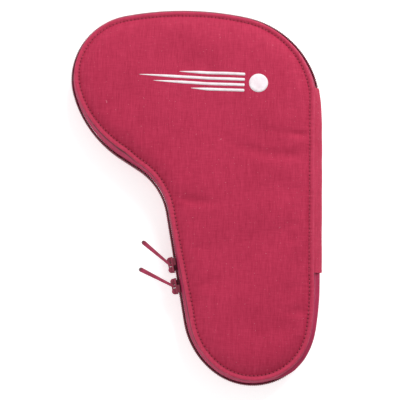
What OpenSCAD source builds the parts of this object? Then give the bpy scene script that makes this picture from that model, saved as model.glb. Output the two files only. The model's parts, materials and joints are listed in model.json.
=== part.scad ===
// Bat-shaped padded case for table-tennis bats, lying flat on its back shell.
// Two padded shells meet at mid height, where a coil zip runs round the rim.
// A fabric spine on the +X side joins the shells and is the fold that they open on.
// Each layer is a profile carried round one outline of arcs that run smoothly into each other.

/* [Case] */
// Overall thickness of the closed case
case_t = 36; // [32:0.5:44]
// Height of each panel's edge above the mid plane
edge_h = 11; // [10:0.5:12]
// Radius of the waist, where the blade runs into the handle
waist_r = 52.5; // [46:0.5:60]
// Length of the straight rim below the waist, where the sliders stand
handle_l = 87; // [80:1:95]
// Straight rim below the lower end of the spine
below_spine_l = 9.5; // [6:0.5:14]

/* [Layers] */
// Thickness of the outer canvas
canvas_t = 0.8; // [0.6:0.1:1.2]
// Thickness of the foam padding
foam_t = 4; // [3:0.5:5]
// Thickness of the lining, the zip tape and the edge binding
cloth_t = 0.6; // [0.4:0.1:0.8]
// Air left between neighbouring layers
layer_gap = 0.1; // [0.05:0.05:0.2]
// How far in from the panel edge the topstitch runs
stitch_in = 3.8; // [3:0.1:4.5]

/* [Zip] */
// Height of one coil half
coil_h = 3; // [2.5:0.1:3.5]
// How far one coil half stands out from its tape
coil_t = 2.4; // [2:0.1:3]
// Half of the slit between the two coil halves
slit = 0.45; // [0.4:0.05:0.6]
// Gap between the rest of each shell and the mid plane
mid_gap = 0.15; // [0.1:0.05:0.3]
// How far the spine strip stands proud of the rim
spine_proud = 1.2; // [0.8:0.1:1.5]
// Thickness of the spine strip
spine_t = 1; // [0.8:0.1:1.2]

/* [Sliders] */
// Length of a slider along the zip
slider_l = 13; // [11:0.5:14]
// Width of a slider across the zip
slider_w = 10; // [9.5:0.1:11]
// Thickness of each slider plate
plate_t = 1.3; // [1:0.1:1.5]
// Distance of the upper slider from the top of the straight rim
upper_at = 41; // [38:0.5:44]
// Distance between the two sliders' centres
slider_pitch = 17; // [16:0.5:20]
// Radius of a puller's pin
pin_r = 0.8; // [0.7:0.05:0.9]
// Length of the upper puller from its pin
upper_puller_l = 29.6; // [26:0.2:34]
// Length of the lower puller from its pin
lower_puller_l = 31; // [26:0.2:34]
// Angle of the upper puller from straight out, towards the blade
upper_puller_a = 49.5; // [27:0.5:62]
// Angle of the lower puller from straight out, towards the blade
lower_puller_a = 36.5; // [0:0.5:38]

/* [Print] */
// Diameter of the printed ball
ball_d = 15; // [12:1:18]
// Length of the longest printed line
line_l = 84; // [60:1:90]
// Thickness of a printed line
line_w = 2.2; // [1.5:0.1:3]
// Tilt of the print
print_a = -2; // [-5:0.5:5]

/* [Hidden] */
$fn = 48;

canvas_c = "#b2304f";
tape_c = "#8f2a4a";
coil_c = "#5c1b34";
thread_c = "#c23a58";
lining_c = "#3c3438";
foam_c = "#c9c5bd";
metal_c = "#a23350";
steel_c = "#c8c8cc";
print_c = "#e9e2e5";

mid_z = case_t / 2;

// ---- Outline ----
// Arcs and straights of the rim, anticlockwise from the lower end of the spine.
// Each row: radius (negative turns right, 0 is straight), turn in degrees or length,
// how far the zip tape leans out beyond the panel at its start, steps.
// The length of the first straight and of the one above the waist close the outline.
ARCS = [
    [0, 0, 6.0, 4],
    [77, 11, 6.0, 2],
    [77, 67.5, 5.5, 10],
    [247, 23.5, 5.2, 6],
    [53.5, 95.5, 5.4, 16],
    [96, 40.5, 5.0, 7],
    [0, 0, 6.3, 2],
    [-waist_r, -47, 4.5, 9],
    [0, handle_l, 4.0, 4],
    [60.5, 45, 5.8, 8],
    [50, 113, 5.6, 19],
    [205, 11, 4.8, 3],
    [0, below_spine_l, 5.6, 1]
];
SPINE_LAST = 1;   // the spine covers the first two rows
BLADE_RUN = 6;    // row of the straight above the waist
SLIDER_RUN = 8;   // row of the straight that the sliders stand on

function turn(i) = ARCS[i][0] == 0 ? 0 : ARCS[i][1];
function heading(i) = i == 0 ? 90 : heading(i - 1) + turn(i - 1);
function along(a) = [cos(a), sin(a)];
function inward(a) = [-sin(a), cos(a)];
function arc_step(r, a, t) = r * [sin(a + t) - sin(a), cos(a) - cos(a + t)];
function known_step(i) =
    ARCS[i][0] == 0 ? ARCS[i][1] * along(heading(i)) : arc_step(ARCS[i][0], heading(i), turn(i));
function sum_steps(i) = i < 0 ? [0, 0] : known_step(i) + sum_steps(i - 1);

miss = sum_steps(len(ARCS) - 1);
blade_run_l = -miss.x / cos(heading(BLADE_RUN));
spine_run_l = -miss.y - blade_run_l * sin(heading(BLADE_RUN));

function run_l(i) = i == 0 ? spine_run_l : i == BLADE_RUN ? blade_run_l : ARCS[i][1];
function part_step(i, f) = ARCS[i][0] == 0
    ? f * run_l(i) * along(heading(i))
    : arc_step(ARCS[i][0], heading(i), f * turn(i));
function start(i) = i == 0 ? [0, 0] : start(i - 1) + part_step(i - 1, 1);
function ease(f) = f * f * (3 - 2 * f);
function lean(i, f) = ARCS[i][2] + ease(f) * (ARCS[(i + 1) % len(ARCS)][2] - ARCS[i][2]);

// A station is [point on the rim, heading, lean of the tape].
function stations(first, last) = [
    for (i = [first:last], at = [start(i)], k = [0:ARCS[i][3] - 1], f = [k / ARCS[i][3]])
        [at + part_step(i, f), heading(i) + f * turn(i), lean(i, f)]
];
function end_station(i) = [start(i) + part_step(i, 1), heading(i) + turn(i), lean(i, 1)];

LOOP = stations(0, len(ARCS) - 1);
SPINE = concat(stations(0, SPINE_LAST), [end_station(SPINE_LAST)]);
ZIP = concat(stations(SPINE_LAST + 1, len(ARCS) - 1), [end_station(len(ARCS) - 1)]);

rim_x = [for (s = LOOP) s[0].x];
rim_y = [for (s = LOOP) s[0].y];
centre = [(min(rim_x) + max(rim_x) + spine_proud) / 2, (min(rim_y) + max(rim_y)) / 2];

// ---- Profiles ----
// A profile point is [distance in, base, height above the mid plane].
// Base 0 measures the distance from the rim, and base 1 from the panel's edge.
function place(s, p) =
    let (at = s[0] + (p[0] + p[1] * s[2]) * inward(s[1]) - centre) [at.x, at.y, p[2]];
function flipped(list) = [for (i = [len(list) - 1:-1:0]) list[i]];
function quads(rows, cols, wrap_rows, wrap_cols) = [
    for (i = [0:rows - (wrap_rows ? 1 : 2)], j = [0:cols - (wrap_cols ? 1 : 2)])
        let (a = i * cols, b = ((i + 1) % rows) * cols, k = (j + 1) % cols)
        each [[a + j, b + k, a + k], [a + j, b + j, b + k]]
];

// A closed profile carried all the way round the rim.
module hoop(profile) {
    points = [for (s = LOOP, p = profile) place(s, p)];
    polyhedron(points, quads(len(LOOP), len(profile), true, true));
}

// A closed profile carried along part of the rim, with a flat end at each side.
module band(path, profile) {
    n = len(profile);
    last = (len(path) - 1) * n;
    points = [for (s = path, p = profile) place(s, p)];
    ends = [[for (j = [0:n - 1]) j], [for (j = [n - 1:-1:0]) last + j]];
    polyhedron(points, concat(quads(len(path), n, false, true), ends));
}

// A padded sheet that fills the outline: its open profile runs from the middle of the
// underside, out round the edge, and back in to the middle of the top.
module sheet(profile) {
    n = len(LOOP);
    last = (len(profile) - 1) * n;
    points = [for (p = profile, s = LOOP) place(s, p)];
    ends = [[for (j = [0:n - 1]) j], [for (j = [n - 1:-1:0]) last + j]];
    polyhedron(points, concat(quads(len(profile), n, false, true), ends));
}

// Puts a shell's layers in place: the front shell faces up and the back shell faces down.
module front() { translate([0, 0, mid_z]) children(); }
module back() { translate([0, 0, mid_z]) mirror([0, 0, 1]) children(); }

// ---- Panel ----
// The puffed part of the panel's outer face, from the stitched groove to the flat middle:
// [distance in from the panel edge, share of the rise].
PUFF = [[0, 0], [2.4, 0.3], [6, 0.64], [11, 0.87], [17, 0.97], [25, 1]];
groove_h = edge_h + 1.2;
rise = mid_z - groove_h;
function puff(inset, drop) =
    [for (q = PUFF) [stitch_in + q[0] + inset, 1, groove_h + q[1] * rise - drop]];
function tail(list, from) = [for (i = [from:len(list) - 1]) list[i]];

canvas_under = edge_h + layer_gap;
WELT = [[0.35, 1, canvas_under], [0, 1, edge_h + 0.9], [0.5, 1, edge_h + 1.7], [2.2, 1, edge_h + 2.1]];
CANVAS = concat(flipped(tail(puff(0.5, canvas_t), 1)), [[stitch_in + 0.7, 1, canvas_under]], WELT, puff(0, 0));

foam_drop = canvas_t + layer_gap;
foam_floor = foam_drop + foam_t;
FOAM_EDGE = [[stitch_in + 2, 1, edge_h + layer_gap], [stitch_in + 2, 1, edge_h + 0.6]];
function floor_line(drop) =
    [for (q = tail(PUFF, 3)) [stitch_in + q[0], 1, groove_h + q[1] * rise - drop]];
FOAM = concat(flipped(floor_line(foam_floor)), FOAM_EDGE, tail(puff(0.8, foam_drop), 1));

lining_drop = foam_floor + layer_gap;
LINING = concat(flipped(floor_line(lining_drop + cloth_t)),
    [[stitch_in + 1, 1, edge_h - cloth_t], [stitch_in + 1, 1, edge_h - 0.05]],
    floor_line(lining_drop));

// ---- Zip, seams and spine ----
tape_in = coil_t + 0.05;
TAPE = [
    [tape_in, 0, slit], [tape_in + cloth_t, 0, slit], [tape_in + cloth_t, 0, slit + coil_h],
    [0.4, 1, edge_h - cloth_t - 0.1], [stitch_in + 0.7, 1, edge_h - cloth_t], [stitch_in + 0.7, 1, edge_h],
    [-0.2, 1, edge_h - 0.05], [tape_in, 0, slit + coil_h + 0.1]
];
COIL = [[0, 0, slit + 0.5], [0.4, 0, slit], [coil_t, 0, slit], [coil_t, 0, slit + coil_h],
    [0.4, 0, slit + coil_h], [0, 0, slit + coil_h - 0.5]];
binding_top = edge_h - cloth_t - 0.15;
BINDING = [[1.2, 1, binding_top - cloth_t], [stitch_in + 1.6, 1, binding_top - cloth_t],
    [stitch_in + 1.6, 1, binding_top], [1.2, 1, binding_top]];
STITCH = [[stitch_in - 0.3, 1, groove_h + 0.2], [stitch_in + 0.3, 1, groove_h + 0.25],
    [stitch_in, 1, groove_h + 0.55]];
spine_in = spine_t - spine_proud;
SPINE_STRIP = [
    [-spine_proud, 0, mid_gap], [spine_in, 0, mid_gap], [spine_in + 0.2, 0, 3],
    [0.6, 1, edge_h - cloth_t - 0.1], [stitch_in + 0.7, 1, edge_h - cloth_t], [stitch_in + 0.7, 1, edge_h],
    [-0.3, 1, edge_h - 0.05], [0.2 - spine_proud, 0, 3]
];
SPINE_INNER = [
    [spine_in + 0.2, 0, mid_gap], [spine_in + 0.2 + cloth_t, 0, mid_gap],
    [spine_in + 0.4 + cloth_t, 0, 3], [0.6 + cloth_t, 1, binding_top - cloth_t - 0.1],
    [0.6, 1, binding_top - cloth_t - 0.1], [spine_in + 0.4, 0, 3]
];

module panel() { color(canvas_c) sheet(CANVAS); }
module foam() { color(foam_c) sheet(FOAM); }
module lining() { color(lining_c) sheet(LINING); }
module edge_binding() { color(lining_c) hoop(BINDING); }
module zip_tape() { color(tape_c) band(ZIP, TAPE); }
module coil() { color(coil_c) band(ZIP, COIL); }
module topstitch() { color(thread_c) hoop(STITCH); }
module spine() { color(canvas_c) band(SPINE, SPINE_STRIP); }
module spine_lining() { color(lining_c) band(SPINE, SPINE_INNER); }

module back_panel() { back() panel(); }
module back_foam() { back() foam(); }
module back_lining() { back() lining(); }
module back_edge_binding() { back() edge_binding(); }
module back_zip_tape() { back() zip_tape(); }
module back_coil() { back() coil(); }
module back_topstitch() { back() topstitch(); }
module back_spine() { back() spine(); }
module back_spine_lining() { back() spine_lining(); }
module front_panel() { front() panel(); }
module front_foam() { front() foam(); }
module front_lining() { front() lining(); }
module front_edge_binding() { front() edge_binding(); }
module front_zip_tape() { front() zip_tape(); }
module front_coil() { front() coil(); }
module front_topstitch() { front() topstitch(); }
module front_spine() { front() spine(); }
module front_spine_lining() { front() spine_lining(); }

// ---- Print ----
// A ball in flight with four trailing lines. Each line: [share of the longest, height in line widths].
LINES = [[0.62, 2.4], [1, 0.8], [0.86, -0.8], [0.5, -2.4]];
print_t = 0.15;
print_at = [58, 85];
module front_print() {
    color(print_c) translate([print_at.x, print_at.y, case_t]) rotate(print_a) translate([-ball_d / 2, 0, 0]) {
        cylinder(h = print_t, d = ball_d);
        for (q = LINES)
            translate([-ball_d / 2 - 4 - q[0] * line_l, (q[1] - 0.5) * line_w * 1.25, 0])
                cube([q[0] * line_l, line_w, print_t]);
    }
}

// ---- Sliders ----
// A slider's own frame: X along the zip towards the handle's end, Y out of the case, Z up.
// Its origin is on the outer face of the coil, at mid height.
slider_a = heading(SLIDER_RUN);
module on_zip(distance) {
    at = start(SLIDER_RUN) + distance * along(slider_a) - centre;
    translate([at.x, at.y, mid_z]) rotate(slider_a) mirror([0, 1, 0]) children();
}
zip_clear = 0.35;
plate_y = zip_clear;                                // inner face of the outer plate
plate_top = plate_y + plate_t;
inner_plate_y = -tape_in - cloth_t - 0.7;           // outer face of the inner plate
flange_in = slit + coil_h + 0.35;
flange_y = -tape_in + 0.55;
web_t = 0.5;
pin_y = plate_top + pin_r + 0.35;
crown_w = 3.6;
crown_l = slider_l - 0.4;
bridge_y = pin_y + pin_r + 0.3;
bridge_t = 0.8;
lobe_r = 2.4;
lobe_proud = 0.45;                                  // how far each lobe stands above the bridge
window_l = 2.8;

// A flat plate with rounded corners, l by w, lying on Y = y.
module plate(l, w, y, t) {
    corner = 2.2;
    translate([0, y + t, 0]) rotate([90, 0, 0]) linear_extrude(t) union() {
        square([l - 2 * corner, w], center = true);
        square([l, w - 2 * corner], center = true);
        for (i = [-1, 1], j = [-1, 1]) translate([i * (l / 2 - corner), j * (w / 2 - corner)]) circle(corner);
    }
}

// Two plates joined by a web that runs in the slit. Flanges hold the closed coil on the half towards tail.
module slider_body(tail) {
    flange_l = slider_l / 2 - 0.5;
    color(metal_c) {
        plate(slider_l, slider_w, plate_y, plate_t);
        plate(slider_l - 1, slider_w - 0.8, inner_plate_y - plate_t, plate_t);
        translate([-slider_l / 2 + 1.5, inner_plate_y - 0.1, -web_t / 2])
            cube([slider_l - 3, plate_y - inner_plate_y + 0.2, web_t]);
        for (side = [-1, 1])
            translate([tail * (slider_l / 2 - 1.2 - flange_l / 2), (flange_y + plate_top) / 2,
                side * (flange_in + slider_w / 2 - 0.4) / 2])
                cube([flange_l, plate_top - flange_y, slider_w / 2 - 0.4 - flange_in], center = true);
    }
}

// The bridge that the puller's pin sits under, between two rounded lobes.
module slider_crown() {
    bottom = plate_top + 0.02;
    top = bridge_y + bridge_t;
    lobe_x = crown_l / 2 - lobe_r;
    color(metal_c) translate([0, 0, -crown_w / 2]) linear_extrude(crown_w) difference() {
        union() {
            translate([-lobe_x, bottom]) square([2 * lobe_x, top - bottom]);
            intersection() {
                translate([-crown_l / 2, bottom]) square([crown_l, crown_l]);
                for (side = [-1, 1]) translate([side * lobe_x, top + lobe_proud - lobe_r]) circle(lobe_r);
            }
        }
        translate([-window_l / 2, plate_top]) square([window_l, bridge_y - plate_top]);
    }
}

// The leaf that presses the locking tooth towards the coil.
module slider_spring() {
    leaf_t = 0.18;
    leaf_w = 2;
    leaf_l = window_l - 0.3;
    color(steel_c) translate([-leaf_l / 2, 0, -leaf_w / 2]) {
        translate([0, bridge_y - leaf_t - 0.04, 0]) cube([leaf_l, leaf_t, leaf_w]);
        translate([0, plate_top + 0.05, 0]) cube([leaf_t * 2, bridge_y - plate_top - 0.09, leaf_w]);
    }
}

// A tapered tab on a fork whose pin passes under the crown.
fork_in = crown_w / 2 + 0.25;
fork_t = 0.9;
fork_r = pin_y - plate_top - 0.1;
tab_from = 6.8;
module puller(l, a) {
    root_t = 2.2;
    tip_t = 3.4;
    tab_w = 2 * (fork_in + fork_t);
    color(metal_c) translate([0, pin_y, 0]) rotate([0, 0, a]) {
        cylinder(h = tab_w - 0.2, r = pin_r, center = true);
        for (side = [-1, 1]) translate([0, 0, side * (fork_in + fork_t / 2)]) {
            cylinder(h = fork_t, r = fork_r, center = true);
            translate([-fork_r, 0, -fork_t / 2]) cube([2 * fork_r, tab_from + 0.5, fork_t]);
        }
        translate([0, 0, -tab_w / 2]) linear_extrude(tab_w) union() {
            polygon([[-root_t / 2, tab_from], [root_t / 2, tab_from],
                [tip_t / 2, l - tip_t / 2], [-tip_t / 2, l - tip_t / 2]]);
            translate([0, l - tip_t / 2]) circle(tip_t / 2);
        }
    }
}

lower_at = upper_at + slider_pitch;
module upper_slider_body() { on_zip(upper_at) slider_body(-1); }
module upper_slider_crown() { on_zip(upper_at) slider_crown(); }
module upper_slider_spring() { on_zip(upper_at) slider_spring(); }
module upper_puller() { on_zip(upper_at) puller(upper_puller_l, upper_puller_a); }
module lower_slider_body() { on_zip(lower_at) slider_body(1); }
module lower_slider_crown() { on_zip(lower_at) slider_crown(); }
module lower_slider_spring() { on_zip(lower_at) slider_spring(); }
module lower_puller() { on_zip(lower_at) puller(lower_puller_l, lower_puller_a); }

back_panel();
back_foam();
back_lining();
back_edge_binding();
back_zip_tape();
back_coil();
back_topstitch();
back_spine();
back_spine_lining();
front_panel();
front_foam();
front_lining();
front_edge_binding();
front_zip_tape();
front_coil();
front_topstitch();
front_spine();
front_spine_lining();
front_print();
upper_slider_body();
upper_slider_crown();
upper_slider_spring();
upper_puller();
lower_slider_body();
lower_slider_crown();
lower_slider_spring();
lower_puller();
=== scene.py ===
import json
import math

import bmesh
import bpy
import numpy as np
from mathutils import Matrix, Vector
from mathutils.geometry import delaunay_2d_cdt


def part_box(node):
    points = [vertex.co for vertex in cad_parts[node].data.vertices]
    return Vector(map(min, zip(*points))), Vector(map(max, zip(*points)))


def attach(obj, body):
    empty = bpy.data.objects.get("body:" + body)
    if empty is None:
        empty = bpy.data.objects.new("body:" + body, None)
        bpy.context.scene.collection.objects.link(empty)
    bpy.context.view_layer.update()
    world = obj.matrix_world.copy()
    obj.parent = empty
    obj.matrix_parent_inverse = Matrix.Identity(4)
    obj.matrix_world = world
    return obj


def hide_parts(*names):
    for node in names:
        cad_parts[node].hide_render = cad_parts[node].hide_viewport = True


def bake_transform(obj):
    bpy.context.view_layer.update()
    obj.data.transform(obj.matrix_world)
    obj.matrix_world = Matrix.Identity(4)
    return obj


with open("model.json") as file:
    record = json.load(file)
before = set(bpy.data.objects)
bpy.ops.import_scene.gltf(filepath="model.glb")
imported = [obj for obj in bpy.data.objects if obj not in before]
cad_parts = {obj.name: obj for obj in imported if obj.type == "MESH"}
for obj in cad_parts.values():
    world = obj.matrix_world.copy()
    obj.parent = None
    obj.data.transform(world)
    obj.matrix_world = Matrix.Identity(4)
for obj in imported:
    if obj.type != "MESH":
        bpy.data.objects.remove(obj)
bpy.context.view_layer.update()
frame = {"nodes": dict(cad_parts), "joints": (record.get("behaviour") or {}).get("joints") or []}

# Looks of a bat-shaped padded case: canvas covers over foam, a coil zip with twin sliders, and a cloth spine.
# Lengths are in metres. A shell's heights are measured outwards from the mid plane, on both sides alike.

MM = 0.001
FRONT, BACK = 1, -1
SIDES = {"front": FRONT, "back": BACK}

# ---- Sizes, as in the CAD model ----
MID_Z = (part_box("front_coil")[0].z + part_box("back_coil")[1].z) / 2
EDGE_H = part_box("front_zip_tape")[1].z - MID_Z
TOP_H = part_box("front_panel")[1].z - MID_Z
GROOVE_H = EDGE_H + 1.2 * MM
RISE = TOP_H - GROOVE_H
STITCH_IN = 3.8 * MM
CANVAS_T = 0.8 * MM
FOAM_T = 4 * MM
CLOTH_T = 0.6 * MM
GAP = 0.1 * MM
COIL_T = 2.4 * MM
COIL_H = 3 * MM
SLIT = 0.45 * MM
SPINE_T = 1 * MM

# ---- Looks ----
STITCH_PITCH = 3 * MM
PER_STITCH = 6
THREAD_R = 0.27 * MM
TOOTH_PITCH = 1.6 * MM
WIRE_R = 0.42 * MM


# ================= Outline =================
# The rim's arcs and straights, anticlockwise from the lower end of the spine. Each row: radius in mm
# (negative turns right, 0 is straight), turn in degrees or length in mm, lean of the tape in mm.
ROWS = [
    (0, 0, 6.0),
    (77, 11, 6.0),
    (77, 67.5, 5.5),
    (247, 23.5, 5.2),
    (53.5, 95.5, 5.4),
    (96, 40.5, 5.0),
    (0, 0, 6.3),
    (-52.5, -47, 4.5),
    (0, 87, 4.0),
    (60.5, 45, 5.8),
    (50, 113, 5.6),
    (205, 11, 4.8),
    (0, 9.5, 5.6),
]
SPINE_RUN, BLADE_RUN, ZIP_START = 0, 6, 2


def rim_rows():
    """Start, heading, curvature, length and lean of each row. The two open straights close the loop."""
    radius, size, lean = np.array(ROWS, float).T
    bent = radius != 0
    turn = np.where(bent, np.radians(size), 0)
    heading = np.pi / 2 + np.cumsum(turn) - turn
    length = np.where(bent, turn * radius, size) * MM
    curve = np.divide(turn, length, out=np.zeros(len(turn)), where=bent)

    def steps():
        chord = length * np.sinc(turn / 2 / np.pi)
        return chord[:, None] * np.stack([np.cos(heading + turn / 2), np.sin(heading + turn / 2)], 1)

    miss = steps().sum(0)
    length[BLADE_RUN] = -miss[0] / np.cos(heading[BLADE_RUN])
    length[SPINE_RUN] = -miss[1] - length[BLADE_RUN] * np.sin(heading[BLADE_RUN])
    start = np.cumsum(steps(), 0) - steps()
    return start, heading, curve, length, lean * MM


ROW_START, ROW_HEADING, ROW_CURVE, ROW_LENGTH, ROW_LEAN = rim_rows()
ROW_AT = np.cumsum(ROW_LENGTH) - ROW_LENGTH
LOOP = ROW_LENGTH.sum()
SPINE_END = ROW_AT[ZIP_START]


def eased(t):
    """A smooth step from 0 to 1, as t goes from 0 to 1."""
    return t**2 * (3 - 2 * t)


def rim(s):
    """Point, inward direction and lean at distances s round the rim, by a chord along each row's arc."""
    s = np.mod(np.asarray(s, float), LOOP)
    row = np.searchsorted(ROW_AT, s, side="right") - 1
    part = s - ROW_AT[row]
    half = ROW_CURVE[row] * part / 2
    chord = part * np.sinc(half / np.pi)
    middle = ROW_HEADING[row] + half
    point = ROW_START[row] + chord[:, None] * np.stack([np.cos(middle), np.sin(middle)], 1)
    heading = ROW_HEADING[row] + 2 * half
    inward = np.stack([-np.sin(heading), np.cos(heading)], 1)
    share = part / ROW_LENGTH[row]
    after = ROW_LEAN[(row + 1) % len(ROWS)]
    lean = ROW_LEAN[row] + eased(share) * (after - ROW_LEAN[row])
    return point, inward, lean


coil_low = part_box("front_coil")[0]
rim_low = rim(np.linspace(0, LOOP, 4000))[0].min(0)
ROW_START = ROW_START + np.array([coil_low.x, coil_low.y]) - rim_low


def inset_line(s, distance):
    """Points at stations s on the line that runs that far in from the panel's edge."""
    point, inward, lean = rim(s)
    return point + (distance + lean)[:, None] * inward


def inset_ring(count, distance):
    """The same line all the way round, by count stations evenly spaced on the rim."""
    return inset_line(np.linspace(0, LOOP, count, endpoint=False), distance)


def even(count):
    """Stations whose points on the stitch line are evenly spaced, and the length of that line."""
    s = np.linspace(0, LOOP, 6000)
    step = np.linalg.norm(np.diff(inset_line(s, STITCH_IN), axis=0), axis=1)
    run = np.append(0, np.cumsum(step))
    return np.interp(np.arange(count) / count * run[-1], run, s), run[-1]


def curve_through(points, count):
    """A smooth line through control points: Catmull-Rom pieces, count points in each."""
    p = np.array(points, float)
    p = np.concatenate([[2 * p[0] - p[1]], p, [2 * p[-1] - p[-2]]])
    t = (np.arange(count) / count)[None, :, None]
    a, b, c, d = (p[i : len(p) - 3 + i, None, :] for i in range(4))
    line = b + t * (c - a) / 2
    line = line + t**2 * (a - 2.5 * b + 2 * c - d / 2) + t**3 * (1.5 * (b - c) + (d - a) / 2)
    return np.concatenate([line.reshape(-1, p.shape[1]), p[-2:-1]])


# ================= Meshes =================
def linked(name, data):
    """A new object in the scene."""
    piece = bpy.data.objects.new(name, data)
    bpy.context.scene.collection.objects.link(piece)
    return piece


def unit(vectors):
    """Vectors at length 1."""
    return vectors / np.linalg.norm(vectors, axis=1)[:, None]


def dot(a, b):
    """Dot products of matching vectors, as a column."""
    return np.einsum("ij,ij->i", a, b)[:, None]


def full_turn(count):
    """Evenly spaced angles once round."""
    return 2 * np.pi * np.arange(count) / count


def squared(v, power):
    """A sine or cosine made boxier: its size to a power below 1, with its sign kept."""
    return np.sign(v) * np.abs(v) ** power


def grid(rows, cols, wrap_rows=False, wrap_cols=False):
    """Quads of a grid of points stored row by row, with each corner's row and column before wrapping."""
    r = np.arange(rows if wrap_rows else rows - 1)
    c = np.arange(cols if wrap_cols else cols - 1)
    a, b = (m.reshape(-1, 1) for m in np.meshgrid(r, c, indexing="ij"))
    row = a + np.array([0, 0, 1, 1])
    col = b + np.array([0, 1, 1, 0])
    return row % rows * cols + col % cols, row, col


def volume(points, faces):
    """Signed volume inside a closed mesh: tetrahedra from the origin to each face's fan of triangles."""
    total = 0.0
    for f in faces:
        for k in range(1, f.shape[1] - 1):
            a, b, c = points[f[:, 0]], points[f[:, k]], points[f[:, k + 1]]
            total += np.einsum("ij,ij->", a, np.cross(b, c)) / 6
    return total


def build(name, points, faces, uvs=None):
    """An object from points and arrays of faces. A closed mesh that is inside out is turned."""
    points = np.asarray(points, float).reshape(-1, 3)
    faces = [np.asarray(f, int) for f in faces]
    if uvs is None:
        uvs = [np.zeros(f.shape + (2,)) for f in faces]
    if volume(points - points.mean(0), faces) < 0:
        faces = [f[:, ::-1] for f in faces]
        uvs = [uv[:, ::-1] for uv in uvs]
    corners = np.concatenate([f.ravel() for f in faces])
    sizes = np.concatenate([np.full(len(f), f.shape[1]) for f in faces])
    mesh = bpy.data.meshes.new(name)
    mesh.vertices.add(len(points))
    mesh.vertices.foreach_set("co", points.astype(np.float32).ravel())
    mesh.loops.add(len(corners))
    mesh.loops.foreach_set("vertex_index", corners.astype(np.int32))
    mesh.polygons.add(len(sizes))
    mesh.polygons.foreach_set("loop_start", (np.cumsum(sizes) - sizes).astype(np.int32))
    mesh.polygons.foreach_set("use_smooth", np.ones(len(sizes), bool))
    layer = mesh.uv_layers.new(name="UVMap")
    layer.data.foreach_set("uv", np.concatenate([uv.reshape(-1, 2) for uv in uvs]).astype(np.float32).ravel())
    mesh.update(calc_edges=True)
    mesh.validate()
    return linked(name, mesh)


def nearest(points, ring):
    """Distance from each point to the nearest point of a ring."""
    parts = np.array_split(points, 12)
    return np.sqrt(np.concatenate([((part[:, None] - ring[None]) ** 2).sum(2).min(1) for part in parts]))


def inside(points, ring):
    """Which points lie inside a ring: an odd number of its edges cross the ray towards +X."""
    a, b = ring, np.roll(ring, -1, 0)
    x, y = points[:, :1], points[:, 1:]
    spans = (a[:, 1] > y) != (b[:, 1] > y)
    rise = np.where(b[:, 1] == a[:, 1], 1, b[:, 1] - a[:, 1])
    cross = a[:, 0] + (y - a[:, 1]) / rise * (b[:, 0] - a[:, 0])
    return (spans & (x < cross)).sum(1) % 2 == 1


def lattice(ring, cell, margin):
    """Points of a triangular lattice that lie inside a ring, at least margin from it."""
    low, high = ring.min(0), ring.max(0)
    row_gap = cell * math.sqrt(3) / 2
    x, y = np.meshgrid(np.arange(low[0], high[0], cell), np.arange(low[1], high[1], row_gap))
    x = x + (np.arange(len(x)) % 2)[:, None] * cell / 2
    points = np.stack([x.ravel(), y.ravel()], 1)
    coarse = ring[:: max(1, len(ring) // 400)]
    points = points[inside(points, coarse)]
    return points[nearest(points, coarse) > margin]


def fill(ring, cell):
    """Lattice points inside a closed ring, and triangles over the ring's points and then the lattice's."""
    extra = lattice(ring, cell, 0.7 * cell)
    every = np.concatenate([ring, extra])
    flat = [Vector(p) for p in every]
    _, _, faces, origin, _, _ = delaunay_2d_cdt(flat, [], [list(range(len(ring)))], 1, 1e-9)
    index = np.array([o[0] if o else 0 for o in origin])
    return extra, index[np.array(faces)]


# ================= Relief =================
def swell(xy, wavelength, seed):
    """Smooth random heights from -1 to 1 or so: the sum of many plane waves with random directions."""
    rng = np.random.default_rng(seed)
    angle, phase = rng.uniform(0, 2 * np.pi, (2, 28))
    stretch = rng.uniform(0.7, 1.5, 28)
    k = 2 * np.pi / wavelength * stretch[:, None] * np.stack([np.cos(angle), np.sin(angle)], 1)
    return np.cos(xy @ k.T + phase).sum(-1) / math.sqrt(28 / 2) / 2


def ripple(turns, period, seed):
    """Smooth random values round a closed line, about period apart, for turns from 0 to 1."""
    rng = np.random.default_rng(seed)
    waves = np.maximum(1, np.round(rng.uniform(0.5, 1.6, 20) / period)).astype(int)
    phase = rng.uniform(0, 2 * np.pi, 20)
    return np.cos(2 * np.pi * turns[..., None] * waves + phase).sum(-1) / math.sqrt(10) / 2


def puff(inset):
    """Share of the pad's rise at a distance in from the stitch line."""
    return 1 - np.exp(-np.power(np.maximum(inset, 0) / (6 * MM), 1.1))


def pad_level(inset):
    """Height of the cover's outer face before its unevenness, creases and gathers."""
    return GROOVE_H + RISE * puff(inset)


# Soft creases in the cover: centre x and y, length, width and depth in mm, and angle in degrees.
CREASES = {
    FRONT: [(86, 45, 36, 6, 1.9, 3), (66, 28, 62, 9, 1.9, -2),
            (2, -10, 32, 7, 1.9, -8), (92, -93, 24, 7, 1.9, 8)],
    BACK: [(80, -20, 34, 6, 1.2, 4), (82, 55, 30, 6, 1.3, -5),
           (0, -12, 30, 6.5, 1.3, -10), (60, -70, 44, 8, 0.9, 6)],
}


def creases(xy, side):
    """Shallow valleys, each a long Gaussian across its length and width."""
    total = np.zeros(len(xy))
    for x, y, length, width, depth, angle in CREASES[side]:
        a = math.radians(angle)
        gone = xy - np.array([x, y]) * MM
        along = gone @ np.array([math.cos(a), math.sin(a)])
        across = gone @ np.array([-math.sin(a), math.cos(a)])
        bend = across - along**2 * 6
        total += depth * MM * np.exp(-((along / (length * MM / 2)) ** 2) - (bend / (width * MM / 2)) ** 2)
    return total


# The pressed cloth's lattice, the blur that is taken from its heights, and the share of what is left.
CELL = 4 * MM
BLUR_CELLS = 4.5
GATHER_SHARE = 0.42
GATHER_MOST = 0.9 * MM
CLOTH_FRAMES = 20
CLOTH = {
    "quality": 6, "mass": 0.25, "tension_stiffness": 22, "compression_stiffness": 22, "bending_stiffness": 12,
    "vertex_group_mass": "stitched", "pin_stiffness": 0.6, "use_pressure": True,
    "uniform_pressure_force": 0.3, "shrink_min": -0.025,
}


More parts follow.
